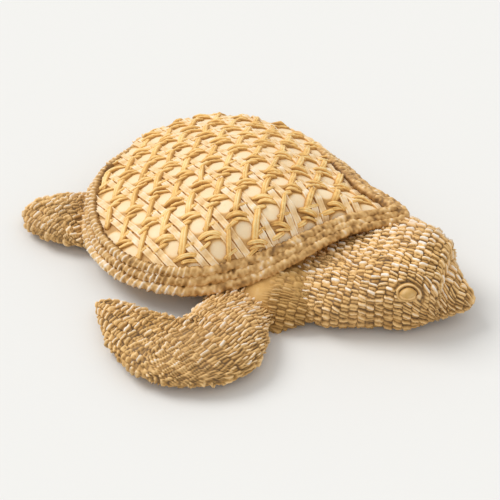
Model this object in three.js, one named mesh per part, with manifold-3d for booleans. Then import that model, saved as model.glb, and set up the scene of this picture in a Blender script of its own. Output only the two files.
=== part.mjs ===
// Sea turtle statuette, one resin casting that imitates woven cane.
// Millimetres, +X towards the head, +Y to the turtle's left, +Z up, standing on Z = 0.
import * as THREE from "three";
import { mergeVertices } from "three/addons/utils/BufferGeometryUtils.js";
import Module from "manifold-3d";

const wasm = await Module();
wasm.setup();

const { clamp, degToRad, lerp } = THREE.MathUtils;
const FULL_TURN = 2 * Math.PI;

// Middle of the finished part's box, in the coordinates of the sizes below, where the shell's axis is Y = 0
const ORIGIN_X = -9.28;
const ORIGIN_Y = -19.3;

// Shell plan: distance forward, width to the right and to the left, from the front tip to the rear tip
const SHELL_OUTLINE = [
  [84, 0, 0],
  [54, 25, 27],
  [31, 50, 56],
  [6.5, 67, 80],
  [-25, 82.5, 95],
  [-63, 80, 95],
  [-96, 54, 70],
  [-116, 0, 0],
];
const DOME_TOP = [1, -9.8];

// Height of the shell's edge: a gentle slope, and a lip that lifts over the neck
const EDGE_REAR_Z = 12.5;
const EDGE_SLOPE = 0.03;
const LIP_RISE = 17;
const LIP_REACH = 64;
const LIP_SHARPNESS = 4;
const LIP_FADE = 2;

// Dome above the edge, from a foot inside the bound rim, fuller towards the right front
const DOME_FOOT_SHARE = 0.88;
const DOME_RISE = 34;
const DOME_FLATNESS = 1.7;
const DOME_FULLNESS = 2.35;
const DOME_FULL_SIDE = degToRad(-67.4);
const DOME_FULL_FOCUS = 1.6;
const DOME_SHOULDER = 1.26;
const CORE_DEPTH = 0.9;
const CORE_INSET = 3;
const CORE_SHARES = [1, 0.955, 0.92, 0.88, 0.78, 0.64, 0.48, 0.3, 0.12];
const CORE_SIDES = 40;
const SOFFIT_DROP = 2;

// Cane webbing: square cells, one round filled hole in each, laid over the dome like a cloth
const WEAVE_PITCH = 19;
const WEAVE_TURN = degToRad(-38.7);
const WEAVE_START = [-26, -53.7];
const DRAPE_STEP = 2;
const HOLE_RADIUS = 5.4;
const HOLE_FOOT = 0.82;
const STRAND_HEIGHT = 1.5;
const CROSSING_HEIGHT = 2.5;
const BRIDGE_HEIGHT = 2.1;
const WEAVE_DEPTH = 3;
const WEAVE_INSET = 8.2;
const WEAVE_OVERRUN = 4;
const TRIM_SIDES = 40;
const TRIM_HEIGHT = 100;

// Three coils that bind the edge, stacked up the dome's sides, but thinner and nearly flat on the lip
const COIL_RADIUS = 2.8;
const COIL_STEP = 5.25;
const COIL_LEAN = degToRad(59);
const COIL_LIP_LEAN = degToRad(25);
const COIL_LIP_SCALE = 0.7;
const COILS = 3;
const COIL_OUTER_ARC = 110;
const COIL_INNER_ARC = 58;
const RIM_STATIONS = 50;

// Belly: a flat sole and walls that rise to the shell
const BELLY_SOLE_INSET = 38;
const BELLY_WALL_INSET = 27;
const BELLY_TURN_SHARE = 0.35;
const BELLY_OVERLAP = 6;
const BELLY_SIDES = 36;

// Chest between the shoulders: distance outward, distance forward, half length, half height
const CHEST_STATIONS = [
  [-81, 25, 5, 4],
  [-74, 26, 19, 9],
  [-58, 26, 27, 11],
  [0, 22, 34, 12],
  [50, 20, 26, 11],
  [60, 19, 12, 7],
];
const CHEST_RISE = 0.95;
const CHEST_RINGS = 12;
const CHEST_SIDES = 12;

// Neck and head: distance forward, half width, top, bottom, sideways offset
const HEAD_STATIONS = [
  [10, 42, 18, 4, -4],
  [36, 54, 22.5, 1, -13],
  [56, 54, 28, 0.5, -20],
  [72, 45, 34.5, 0.5, -25],
  [85, 37.5, 39.7, 0.7, -28.3],
  [95, 34, 41.4, 1, -30.7],
  [102, 30.8, 40.8, 1, -31.2],
  [107.5, 27.3, 38.4, 1.6, -31.2],
  [112, 24.6, 35, 2.6, -31.4],
  [115.5, 18.2, 29.6, 4, -34],
  [121, 12.6, 24.8, 5.5, -36.2],
  [126.3, 6, 20, 9, -36.6],
  [129.5, 2.2, 16.3, 12.5, -36.8],
];
const HEAD_RINGS = 23;
const HEAD_SIDES = 24;
const CROWN_POWER = 0.8;
const JAW_POWER = 0.42;
const BEAK_POWER = 1.2;
const BEAK_FROM_X = 100;
const BEAK_LENGTH = 29.5;

// Eyes: place on the turned head, size of the ball, and the lid folded over it
const EYE_X = 102.5;
const EYE_TURN = 4;
const EYE_Z = 28;
const EYE_TILT = 2;
const EYE_HALF_LENGTH = 6;
const EYE_HALF_HEIGHT = 4.2;
const EYE_BULGE = 3;
const EYE_SINK = 1.6;
const EYE_POLAR = [10, 40, 65, 90, 120, 150];
const EYE_SIDES = 10;
const LID_RADIUS = 1.2;
const LID_GAP = 1;
const LID_OUT = 1.4;
const LID_DROP = 0.4;
const LID_TAPER = 0.45;
const LID_STEPS = 8;
const LID_SIDES = 6;

// Front flippers, the right one reaching out and the left one swept back along the shell:
// distance forward and outward from the shoulder, height, half chord, half thickness
const SHOULDER = [8, 46];
const RIGHT_FLIPPER = [
  [0, 0, 9, 20, 7],
  [-1, 22, 7.5, 20, 7],
  [-2, 43, 9.5, 21.5, 9.5],
  [-4, 65, 9.5, 27.5, 9.5],
  [-26, 74.5, 8.5, 25.5, 8.5],
  [-49, 66, 7.5, 18.5, 7.5],
  [-65, 56, 7, 11, 6],
  [-74, 51, 6.5, 5.5, 4.5],
  [-78, 48.5, 6, 2, 2],
];
const LEFT_FLIPPER = [
  [0, 0, 9, 20, 7],
  [-8, 18, 7.5, 20, 7],
  [-20, 32, 7.5, 21, 6.5],
  [-38, 40, 7.5, 21, 7],
  [-58, 42, 7.5, 18, 7],
  [-76, 40, 7.5, 12, 6.5],
  [-88, 37, 6.5, 5.5, 4.5],
  [-93, 36, 6, 2, 2],
];

// Rear flippers, from the hip: the right one trails behind, the left one is swung out and partly drawn in
const HIP = [-78, 28];
const REAR_FLIPPER = [
  [0, 0, 8, 17, 6],
  [-20, 1, 7.5, 20.5, 6],
  [-38, 1, 9.5, 22.5, 8.5],
  [-54, 0, 8, 18.5, 7.5],
  [-64, -1, 6.5, 11, 5],
  [-70, -1, 5, 2.5, 2.5],
];
const LEFT_REAR_SWING = -62;
const LEFT_REAR_REACH = 0.75;
const FLIPPER_RINGS = 22;
const FLIPPER_SIDES = 12;

// Turns a closed triangle mesh into a solid
function solid(points, index) {
  const geometry = new THREE.BufferGeometry().setFromPoints(points);
  geometry.setIndex(index);
  const merged = mergeVertices(geometry, 1e-4);
  const triVerts = new Uint32Array(merged.index.array);
  const vertProperties = merged.attributes.position.array;
  const made = new wasm.Manifold(new wasm.Mesh({ numProp: 3, vertProperties, triVerts }));
  return made.volume() > 0 ? made : solid(points, index.toReversed());
}

// Rows of triangles between neighbouring rings; a closed loop joins the last ring to the first
function ringBands(ringCount, sides, closed) {
  const index = [];
  for (let r = 0; r < ringCount - (closed ? 0 : 1); r++) {
    const here = r * sides;
    const there = ((r + 1) % ringCount) * sides;
    for (let s = 0; s < sides; s++) {
      const t = (s + 1) % sides;
      index.push(here + s, here + t, there + t);
      index.push(here + s, there + t, there + s);
    }
  }
  return index;
}

// Closed skin over a row of rings, with a fan at each end
function loft(rings) {
  const sides = rings[0].length;
  const points = rings.flat();
  const index = ringBands(rings.length, sides, false);
  const middle = (ring) => ring.reduce((sum, p) => sum.add(p), new THREE.Vector3()).divideScalar(sides);
  const first = points.push(middle(rings[0])) - 1;
  const last = points.push(middle(rings.at(-1))) - 1;
  const lastRow = (rings.length - 1) * sides;
  for (let s = 0; s < sides; s++) {
    const t = (s + 1) % sides;
    index.push(first, t, s);
    index.push(last, lastRow + s, lastRow + t);
  }
  return solid(points, index);
}

// Slab between a triangulated upper sheet and a lower one with the same triangles
function slab(upper, lower, triangles) {
  const count = upper.length;
  const index = [...triangles];
  const edges = new Map();
  for (let i = 0; i < triangles.length; i += 3) {
    const [a, b, c] = triangles.slice(i, i + 3);
    index.push(count + a, count + c, count + b);
    for (const [p, q] of [[a, b], [b, c], [c, a]]) {
      if (edges.has(`${q},${p}`)) edges.delete(`${q},${p}`);
      else edges.set(`${p},${q}`, [p, q]);
    }
  }
  for (const [p, q] of edges.values()) {
    index.push(q, p, count + p);
    index.push(q, count + p, count + q);
  }
  return solid([...upper, ...lower], index);
}

const ringOf = (sides, point) => Array.from({ length: sides }, (_, i) => point((FULL_TURN * i) / sides));

// Smooth rows of numbers through the given stations
function smoothRows(stations, count) {
  const curves = stations[0].map(
    (_, k) => new THREE.SplineCurve(stations.map((row, i) => new THREE.Vector2(i, row[k]))),
  );
  return Array.from({ length: count }, (_, i) => curves.map((curve) => curve.getPoint(i / (count - 1)).y));
}

// Shell edge in plan
function shellCurve() {
  const right = SHELL_OUTLINE.map(([x, width]) => new THREE.Vector3(x, -width, 0));
  const left = SHELL_OUTLINE.slice(1, -1).map(([x, , width]) => new THREE.Vector3(x, width, 0));
  return new THREE.CatmullRomCurve3([...right, ...left.reverse()], true, "centripetal");
}
const SHELL_EDGE = shellCurve();

// Direction and distance of a plan point from the dome's top, and the plan point at a given pair of them
function toPolar(x, y) {
  const [ahead, aside] = [x - DOME_TOP[0], y - DOME_TOP[1]];
  return [Math.atan2(aside, ahead), Math.hypot(ahead, aside)];
}
function atPolar(angle, reach) {
  return [DOME_TOP[0] + reach * Math.cos(angle), DOME_TOP[1] + reach * Math.sin(angle)];
}

// Distance of the shell's edge from the dome's top
const EDGE_TABLE = SHELL_EDGE.getSpacedPoints(720)
  .map((p) => toPolar(p.x, p.y))
  .sort((a, b) => a[0] - b[0]);
function edgeRadius(angle) {
  const next = EDGE_TABLE.findIndex((row) => row[0] > angle);
  if (next <= 0) return EDGE_TABLE[0][1];
  const [a, b] = [EDGE_TABLE[next - 1], EDGE_TABLE[next]];
  return lerp(a[1], b[1], (angle - a[0]) / (b[0] - a[0]));
}

// Share of the lip, height of the edge, and the coils' radius and steps, at a distance forward
function lipShare(x) {
  const front = SHELL_OUTLINE[0][0];
  return Math.exp(-(((front - Math.min(x, front)) / LIP_REACH) ** LIP_SHARPNESS));
}
function edgeHeight(x) {
  return EDGE_REAR_Z + EDGE_SLOPE * (x - SHELL_OUTLINE.at(-1)[0]) + LIP_RISE * lipShare(x);
}
function coilSize(x) {
  const lean = lerp(COIL_LEAN, COIL_LIP_LEAN, lipShare(x));
  const scale = lerp(1, COIL_LIP_SCALE, lipShare(x));
  const step = scale * COIL_STEP;
  return { lean, radius: scale * COIL_RADIUS, stepIn: step * Math.cos(lean), stepUp: step * Math.sin(lean) };
}

// Height of the plane under the dome and of the dome's own surface at a plan point
function shellHeights(x, y) {
  const [angle, distance] = toPolar(x, y);
  const radius = edgeRadius(angle);
  const reach = Math.min(radius, distance);
  const edgeX = atPolar(angle, radius)[0];
  const coil = coilSize(edgeX);
  const base = lerp(edgeHeight(DOME_TOP[0]), edgeHeight(edgeX), (reach / radius) ** LIP_FADE);
  const footInset = coil.radius + (COILS - 1) * coil.stepIn * DOME_FOOT_SHARE;
  const inset = Math.min(radius - reach, footInset);
  const foot = base + (inset - coil.radius) * Math.tan(coil.lean);
  const share = Math.min(1, reach / (radius - footInset));
  const full = Math.max(0, Math.cos(angle - DOME_FULL_SIDE)) ** DOME_FULL_FOCUS;
  const flatness = DOME_FLATNESS + DOME_FULLNESS * full;
  const rise = base + DOME_RISE - foot;
  return { base, dome: foot + rise * (1 - share ** flatness) ** DOME_SHOULDER };
}

// Ring inside the shell's edge, with a height worked out at each plan point
function shellRing(sides, inset, share, height) {
  return ringOf(sides, (turn) => {
    const angle = turn - Math.PI;
    const [x, y] = atPolar(angle, (edgeRadius(angle) - inset) * share);
    return new THREE.Vector3(x, y, height(x, y));
  });
}

// Smooth body of the shell, under the webbing
function shellCore() {
  const soffit = shellRing(CORE_SIDES, CORE_INSET, 1, (x, y) => shellHeights(x, y).base - SOFFIT_DROP);
  const rings = CORE_SHARES.map((share) =>
    shellRing(CORE_SIDES, CORE_INSET, share, (x, y) => shellHeights(x, y).dome - CORE_DEPTH),
  );
  return loft([soffit, ...rings]);
}

// Plan point of a spot on a cloth laid over the dome from its top
function draped(x, y) {
  const [angle, length] = toPolar(x, y);
  const height = (reach) => shellHeights(...atPolar(angle, reach)).dome;
  let reach = 0;
  let laid = 0;
  while (laid < length) {
    const step = Math.hypot(DRAPE_STEP, height(reach + DRAPE_STEP) - height(reach));
    reach += DRAPE_STEP * Math.min(1, (length - laid) / step);
    laid += step;
  }
  return atPolar(angle, reach);
}

// Cane webbing: each cell is a round hole floor, its wall, and the strands around it
function webbing() {
  const across = new THREE.Vector2(WEAVE_PITCH, 0).rotateAround(new THREE.Vector2(), WEAVE_TURN);
  const up = new THREE.Vector2(0, WEAVE_PITCH).rotateAround(new THREE.Vector2(), WEAVE_TURN);
  const upper = [];
  const lower = [];
  const known = new Map();
  const triangles = [];
  const spot = (u, v) =>
    draped(WEAVE_START[0] + u * across.x + v * up.x, WEAVE_START[1] + u * across.y + v * up.y);
  const place = (u, v, relief) => {
    const key = `${Math.round(u * 1000)},${Math.round(v * 1000)}`;
    if (!known.has(key)) {
      const [x, y] = spot(u, v);
      const z = shellHeights(x, y).dome;
      known.set(key, upper.push(new THREE.Vector3(x, y, z + relief)) - 1);
      lower.push(new THREE.Vector3(x, y, z - WEAVE_DEPTH));
    }
    return known.get(key);
  };
  const cell = (i, j) => {
    const hole = (radius, relief) =>
      ringOf(8, (turn) => {
        const reach = radius / WEAVE_PITCH;
        return place(i + reach * Math.cos(turn), j + reach * Math.sin(turn), relief(turn));
      });
    const floor = hole(HOLE_RADIUS * HOLE_FOOT, () => 0);
    const lip = hole(HOLE_RADIUS, (turn) => lerp(STRAND_HEIGHT, BRIDGE_HEIGHT, Math.cos(turn) ** 2));
    const outer = ringOf(8, (turn) => {
      const [du, dv] = [Math.round(Math.cos(turn)) / 2, Math.round(Math.sin(turn)) / 2];
      const relief = du && dv ? CROSSING_HEIGHT : du ? BRIDGE_HEIGHT : STRAND_HEIGHT;
      return place(i + du, j + dv, relief);
    });
    for (let k = 0; k < 8; k++) {
      const n = (k + 1) % 8;
      triangles.push(floor[k], lip[k], lip[n], floor[k], lip[n], floor[n]);
      triangles.push(lip[k], outer[k], outer[n], lip[k], outer[n], lip[n]);
      if (k > 0 && k < 7) triangles.push(floor[0], floor[k], floor[n]);
    }
  };
  const cells = Math.ceil((SHELL_OUTLINE[0][0] - SHELL_OUTLINE.at(-1)[0]) / WEAVE_PITCH);
  for (let i = -cells; i <= cells; i++) {
    for (let j = -cells; j <= cells; j++) {
      const [angle, reach] = toPolar(...spot(i, j));
      if (reach < edgeRadius(angle) + WEAVE_OVERRUN) cell(i, j);
    }
  }
  const trim = loft([0, TRIM_HEIGHT].map((z) => shellRing(TRIM_SIDES, WEAVE_INSET, 1, () => z)));
  return slab(upper, lower, triangles).intersect(trim);
}

// Bound edge: three coils swept round the shell, closed on the inside
function rim() {
  const rings = [];
  for (let i = 0; i < RIM_STATIONS; i++) {
    const at = SHELL_EDGE.getPointAt(i / RIM_STATIONS);
    const { lean, radius, stepIn, stepUp } = coilSize(at.x);
    const along = SHELL_EDGE.getTangentAt(i / RIM_STATIONS);
    const inward = new THREE.Vector3(along.y, -along.x, 0).normalize();
    const section = (inset, height) =>
      at.clone().addScaledVector(inward, inset).setZ(edgeHeight(at.x) + height);
    const ring = [];
    for (let c = 0; c < COILS; c++) {
      const from = c === 0 ? -COIL_OUTER_ARC : -COIL_INNER_ARC;
      const to = c === COILS - 1 ? COIL_OUTER_ARC : COIL_INNER_ARC;
      const steps = c === 1 ? 3 : 4;
      for (let k = 0; k < steps; k++) {
        const turn = Math.PI / 2 - lean + degToRad(lerp(from, to, k / (steps - 1)));
        ring.push(section(
          radius + c * stepIn - radius * Math.cos(turn),
          c * stepUp + radius * Math.sin(turn),
        ));
      }
    }
    ring.push(section(radius + COILS * stepIn, COILS * stepUp - radius));
    rings.push(ring);
  }
  return solid(rings.flat(), ringBands(RIM_STATIONS, rings[0].length, true));
}

// Body under the shell, with a flat sole
function belly() {
  const ring = (inset, share, lift) =>
    shellRing(BELLY_SIDES, inset, 1, (x, y) => share * shellHeights(x, y).base + lift);
  const sole = ring(BELLY_SOLE_INSET, 0, 0);
  const turn = ring(BELLY_WALL_INSET, BELLY_TURN_SHARE, 0);
  return loft([sole, turn, ring(BELLY_WALL_INSET, 1, BELLY_OVERLAP)]);
}

// Chest that joins the shoulders under the front of the shell
function chest() {
  const rings = smoothRows(CHEST_STATIONS, CHEST_RINGS).map(([y, x, long, high]) =>
    ringOf(CHEST_SIDES, (turn) =>
      new THREE.Vector3(x + long * Math.cos(turn), y, Math.max(0, high * (CHEST_RISE + Math.sin(turn)))),
    ),
  );
  return loft(rings);
}

// Sideways place of the head's skin at a distance forward and a height
function headSkin(x, z, side) {
  const next = clamp(HEAD_STATIONS.findIndex((row) => row[0] > x), 1, HEAD_STATIONS.length - 1);
  const [behind, ahead] = [HEAD_STATIONS[next - 1], HEAD_STATIONS[next]];
  const share = (x - behind[0]) / (ahead[0] - behind[0]);
  const [, half, top, bottom, offset] = ahead.map((value, k) => lerp(behind[k], value, share));
  const rise = clamp((2 * z - top - bottom) / (top - bottom), 0, 1) ** (1 / CROWN_POWER);
  return offset + side * half * Math.sqrt(1 - rise ** 2) ** CROWN_POWER;
}

function neckAndHead() {
  const power = (value, exponent) => Math.sign(value) * Math.abs(value) ** exponent;
  const rings = smoothRows(HEAD_STATIONS, HEAD_RINGS).map(([x, half, top, bottom, side]) =>
    ringOf(HEAD_SIDES, (turn) => {
      const jaw = lerp(JAW_POWER, BEAK_POWER, clamp((x - BEAK_FROM_X) / BEAK_LENGTH, 0, 1));
      const exponent = Math.sin(turn) > 0 ? CROWN_POWER : jaw;
      const rise = ((top - bottom) / 2) * power(Math.sin(turn), exponent);
      return new THREE.Vector3(x, side + half * power(Math.cos(turn), exponent), (top + bottom) / 2 + rise);
    }),
  );
  return loft(rings);
}

// Eyeball with a lid folded over its upper edge, on one side of the head
function eye(side) {
  const eyeX = EYE_X + side * EYE_TURN;
  const eyeZ = EYE_Z - side * EYE_TILT;
  const surface = headSkin(eyeX, eyeZ, side);
  const ahead = headSkin(eyeX + EYE_HALF_LENGTH, eyeZ, side);
  const behind = headSkin(eyeX - EYE_HALF_LENGTH, eyeZ, side);
  const turnIn = Math.atan2(ahead - behind, 2 * EYE_HALF_LENGTH);
  const centre = new THREE.Vector3(eyeX, surface - side * EYE_SINK, eyeZ);
  const toHead = (local) => local.applyAxisAngle(new THREE.Vector3(0, 0, 1), turnIn).add(centre);
  const ball = loft(
    EYE_POLAR.map((polar) =>
      ringOf(EYE_SIDES, (turn) => {
        const reach = Math.sin(degToRad(polar));
        const out = side * EYE_BULGE * Math.cos(degToRad(polar));
        const along = EYE_HALF_LENGTH * reach * Math.cos(turn);
        return toHead(new THREE.Vector3(along, out, EYE_HALF_HEIGHT * reach * Math.sin(turn)));
      }),
    ),
  );
  const lid = loft(
    Array.from({ length: LID_STEPS }, (_, i) => {
      const turn = (Math.PI * i) / (LID_STEPS - 1);
      const middle = new THREE.Vector3(
        (EYE_HALF_LENGTH + LID_GAP) * Math.cos(turn),
        side * LID_OUT,
        (EYE_HALF_HEIGHT + LID_GAP) * Math.sin(turn) - LID_DROP,
      );
      const taper = lerp(LID_TAPER, 1, Math.sin(turn));
      return ringOf(LID_SIDES, (around) => {
        const outward = LID_RADIUS * taper * Math.cos(around);
        const local = new THREE.Vector3(outward * Math.cos(turn), 0, outward * Math.sin(turn)).add(middle);
        local.y += side * LID_RADIUS * taper * Math.sin(around);
        return toHead(local);
      });
    }),
  );
  return ball.add(lid);
}

// Flipper lofted along its bent line, swung about its root and shortened by its reach
function flipper(stations, root, side, swing = 0, reach = 1) {
  const turned = stations.map(([x, out, z, chord, thick]) => {
    const spot = new THREE.Vector2(x * reach, out * reach).rotateAround(new THREE.Vector2(), degToRad(swing));
    return [root[0] + spot.x, root[1] + spot.y, z, chord * Math.sqrt(reach), thick];
  });
  const rows = smoothRows(turned, FLIPPER_RINGS);
  const rings = rows.map(([x, out, z, chord, thick], i) => {
    const before = rows[Math.max(0, i - 1)];
    const after = rows[Math.min(rows.length - 1, i + 1)];
    const along = new THREE.Vector2(after[0] - before[0], after[1] - before[1]).normalize();
    return ringOf(FLIPPER_SIDES, (turn) => {
      const across = chord * Math.cos(turn);
      const height = Math.max(0, z + thick * Math.sin(turn));
      return new THREE.Vector3(x + along.y * across, side * (out - along.x * across), height);
    });
  });
  return loft(rings);
}

// All forms joined, keeping only the outer skin so no pocket is left inside
function casting() {
  const limbs = [
    flipper(RIGHT_FLIPPER, SHOULDER, -1),
    flipper(LEFT_FLIPPER, SHOULDER, 1),
    flipper(REAR_FLIPPER, HIP, -1),
    flipper(REAR_FLIPPER, HIP, 1, LEFT_REAR_SWING, LEFT_REAR_REACH),
  ];
  const pieces = [shellCore(), webbing(), rim(), belly(), chest(), neckAndHead(), eye(-1), eye(1), ...limbs];
  const whole = pieces.reduce((joined, piece) => joined.add(piece));
  const skins = whole.decompose().sort((a, b) => b.volume() - a.volume());
  return skins[0];
}

// Mesh of the whole statuette, moved so the origin is under the middle of its bounding box
function statuette() {
  const made = casting().getMesh();
  const geometry = new THREE.BufferGeometry();
  geometry.setAttribute("position", new THREE.BufferAttribute(made.vertProperties, 3));
  geometry.setIndex(new THREE.BufferAttribute(made.triVerts, 1));
  geometry.translate(-ORIGIN_X, -ORIGIN_Y, 0);
  const resin = new THREE.MeshStandardMaterial({ color: 0xc9a566, roughness: 0.65, metalness: 0 });
  const mesh = new THREE.Mesh(geometry, resin);
  mesh.name = "turtle";
  return mesh;
}

const root = new THREE.Group();
root.add(statuette());

export default root;
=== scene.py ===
import math

import bpy
import numpy as np
from mathutils import Matrix, Vector


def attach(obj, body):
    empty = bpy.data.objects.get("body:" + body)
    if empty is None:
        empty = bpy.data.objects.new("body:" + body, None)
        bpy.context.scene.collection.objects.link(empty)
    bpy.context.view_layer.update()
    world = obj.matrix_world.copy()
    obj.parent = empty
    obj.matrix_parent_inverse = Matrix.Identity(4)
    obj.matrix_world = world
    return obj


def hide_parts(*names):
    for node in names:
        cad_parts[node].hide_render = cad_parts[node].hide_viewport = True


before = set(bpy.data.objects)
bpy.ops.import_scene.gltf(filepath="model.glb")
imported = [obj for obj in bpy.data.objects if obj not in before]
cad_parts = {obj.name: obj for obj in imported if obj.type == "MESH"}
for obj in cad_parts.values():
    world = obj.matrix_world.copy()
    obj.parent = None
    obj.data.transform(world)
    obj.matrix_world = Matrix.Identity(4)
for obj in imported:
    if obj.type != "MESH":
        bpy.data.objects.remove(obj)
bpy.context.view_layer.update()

# Sizes are in millimetres on the shell's own axis: x forward, y to the turtle's left, z up.
ORIGIN_X = -9.28
ORIGIN_Y = -19.3
MM = 0.001
FULL_TURN = 2 * math.pi

# Shell outline from above: distance forward, width to the right and to the left
SHELL_OUTLINE = [
    [84, 0, 0],
    [54, 25, 27],
    [31, 50, 56],
    [6.5, 67, 80],
    [-25, 82.5, 95],
    [-63, 80, 95],
    [-96, 54, 70],
    [-116, 0, 0],
]
DOME_TOP = (1, -9.8)
SHELL_FRONT_X = 84
SHELL_REAR_X = -116
EDGE_FINENESS = 140
EDGE_REAR_Z = 12.5
EDGE_SLOPE = 0.03
LIP_RISE = 17
LIP_REACH = 64
LIP_SHARPNESS = 4
LIP_FADE = 2
DOME_FOOT_SHARE = 0.88
DOME_RISE = 34
DOME_FLATNESS = 1.7
DOME_FULLNESS = 2.35
DOME_FULL_SIDE = math.radians(-67.4)
DOME_FULL_FOCUS = 1.6
DOME_SHOULDER = 1.26
FLOOR_INSET = 3
SOFFIT_DROP = 2
SHELL_SIDES = 460
SHELL_RINGS = 90
SOFFIT_SHARES = (0.97, 0.85, 0.6, 0.3)
# Tone of the shell's underside, a dark one: painted shade under the shell's edge.
SOFFIT_TONE = 0.25
TOP_SHARE = 0.004
SLOPE_STEP = 0.8

# Cane webbing: a square lattice with a round hole at each whole number, laid over the dome like a cloth
WEAVE_PITCH = 19
WEAVE_TURN = math.radians(-38.7)
WEAVE_START = (-26, -53.7)
WEAVE_REACH = 12
WEAVE_INSET = 8
FAR_WEAVE_INSET = 5
DRAPE_ANGLES = 360
DRAPE_LIMIT = 170
STRAND_STEP = 0.9
STRAND_SINK = 1.2
SHORTEST_RUN = 8
HOLE_RADIUS = 5.4
# Hole floors are painted pale near each hole's middle and darker towards the strands: painted shade.
HOLE_PALE_TO = 0.72 * HOLE_RADIUS
HOLE_DARK_FROM = 1.15 * HOLE_RADIUS
RIBBON_OFFSET = 0.125
RIBBON_HALF_WIDTH = 2.05
RIBBON_WIDTH_DRIFT = 0.14
RIBBON_SIDE_DRIFT = 0.014
RIBBON_HEIGHT = 1.35
RIBBON_WAVE = 0.4
RIBBON_DIP = 0.12
RIBBON_ROUGHNESS = 0.3
BAR_STATIONS = 21
BAR_STRAY = 0.15
BAR_WIDTH_SPREAD = 0.5
BAR_HEIGHT_SPREAD = 0.4
BAR_TONE_SPREAD = 0.35
BAR_ROUGHNESS = 0.42
BAR_SEED = 3
ARCH_SEED = 17

# Bound rim; wraps of its coils, outer one first: spacing, band width, groove, ground tone
COIL_RADIUS = 2.8
COIL_STEP = 5.25
COIL_LEAN = math.radians(59)
COIL_LIP_LEAN = math.radians(25)
COIL_LIP_SCALE = 0.7
COIL_WRAPS = [(4.9, 0.12, 0.15, 0.5), (3.9, 0.16, 0.3, 0.3), (3.9, 0.16, 0.3, 0.3)]
COILS = len(COIL_WRAPS)
RIM_STATIONS = 1500
COIL_SIDES = 20
WRAP_RISE = 0.65
WRAP_SHARE = 0.3
RIM_GRAIN = 0.26
RIM_GRAIN_SIZE = 1.3
KNOT_SWELL = 0.3
KNOT_RISE = 0.26
KNOT_SIZE = 1.4
KNOTS_FROM_X = -12
KNOTS_FULL_X = 30
FAR_RIM_FROM_Y = 5
FAR_RIM_FULL_Y = 55
FAR_RIM_DROP = 3.8

# Belly and chest; chest stations: sideways, forward, half length, half height
BELLY_RINGS = [(38, 0, 0), (30, 0.12, 0), (27, 0.35, 0), (27, 1, 6)]
BELLY_SIDES = 220
CHEST_STATIONS = [
    [-81, 25, 5, 4],
    [-74, 26, 19, 9],
    [-58, 26, 27, 11],
    [0, 22, 34, 12],
    [50, 20, 26, 11],
    [60, 19, 12, 7],
]
CHEST_RISE = 0.95
CHEST_ROWS = 170
CHEST_SIDES = 140
CHEST_SINK = 0.4
# Strength of the painted highlight lines along the chest's bars.
CHEST_PAINTED_HIGHLIGHT = 0.3
ARMPIT_TO_X = 19
ARMPIT_FADE = 8

# Neck and head stations: forward, half width, top, bottom, sideways
HEAD_STATIONS = [
    [10, 42, 18, 4, -4],
    [36, 54, 22.5, 1, -13],
    [56, 54, 28, 0.5, -20],
    [72, 45, 34.5, 0.5, -25],
    [85, 37.5, 39.7, 0.7, -28.3],
    [95, 34, 41.4, 1, -30.7],
    [102, 30.8, 40.8, 1, -31.2],
    [107.5, 27.3, 38.4, 1.6, -31.2],
    [112, 24.6, 35, 2.6, -31.4],
    [115.5, 18.2, 29.6, 4, -34],
    [121, 12.6, 24.8, 5.5, -36.2],
    [126.3, 6, 20, 9, -36.6],
    [129.5, 2.2, 16.3, 12.5, -36.8],
]
CROWN_POWER = 0.8
JAW_POWER = 0.42
BEAK_POWER = 1.2
BEAK_FROM_X = 100
BEAK_LENGTH = 29.5
BEAK_POINT = 2.4
BEAK_POINT_FROM_X = 120
BEAK_SMOOTH_FROM_X = 126
BEAK_SMOOTH_FULL_X = 130
BROW_X = 115.2
BROW_WIDTH = 1.8
BROW_DEPTH = 1.6
NECK_FROM_X = 18
HEAD_TABLE_ROWS = 400
HEAD_ROWS = 226
HEAD_SIDES = 300
ROUGH_SIDES = 720
BOTTOM_BAND = 1.2
BOTTOM_SPARSENESS = 0.12
EYE_X = 102.5
EYE_TURN = 4
EYE_Z = 28
EYE_TILT = 2
EYE_HALF_LENGTH = 4.8
EYE_HALF_HEIGHT = 3.1
EYE_BULGE = 3
EYE_SINK = 1.6
EYE_TONE = 0.62
EYE_PINCH = 0.5
EYE_MARGIN = 0.3
LID_RISE = 0.7
SOCKET_RISE = 0.5
CREASE_DEPTH = 0.9
TEAR_TONE = 0.95
MOUTH_FRONT_X = 130
MOUTH_Z = 12.5
MOUTH_LENGTH = 20
MOUTH_SLOPE = 0.1
MOUTH_WAVE = 0.7
MOUTH_WIDTH = 0.6

# Flipper stations from the root: forward, outward, height, half chord, half thickness
SHOULDER = (8, 46)
RIGHT_FLIPPER = [
    [0, 0, 9, 20, 7],
    [-1, 22, 7.5, 20, 7],
    [-2, 43, 9.5, 21.5, 9.5],
    [-4, 65, 9.5, 27.5, 9.5],
    [-26, 74.5, 8.5, 25.5, 8.5],
    [-49, 66, 7.5, 18.5, 7.5],
    [-65, 56, 7, 11, 6],
    [-74, 51, 6.5, 5.5, 4.5],
    [-78, 48.5, 6, 2, 2],
]
LEFT_FLIPPER = [
    [0, 0, 9, 20, 7],
    [-8, 18, 7.5, 20, 7],
    [-20, 32, 7.5, 21, 6.5],
    [-38, 40, 7.5, 21, 7],
    [-58, 42, 7.5, 18, 7],
    [-76, 40, 7.5, 12, 6.5],
    [-88, 37, 6.5, 5.5, 4.5],
    [-93, 36, 6, 2, 2],
]
HIP = (-78, 28)
REAR_FLIPPER = [
    [0, 0, 8, 17, 6],
    [-20, 1, 7.5, 20.5, 6],
    [-38, 1, 9.5, 22.5, 8.5],
    [-54, 0, 8, 18.5, 7.5],
    [-64, -1, 6.5, 11, 5],
    [-70, -1, 5, 2.5, 2.5],
]
LEFT_REAR_SWING = math.radians(-62)
LEFT_REAR_REACH = 0.75
RIGHT_PLAIT_TURN = math.radians(61)
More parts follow.
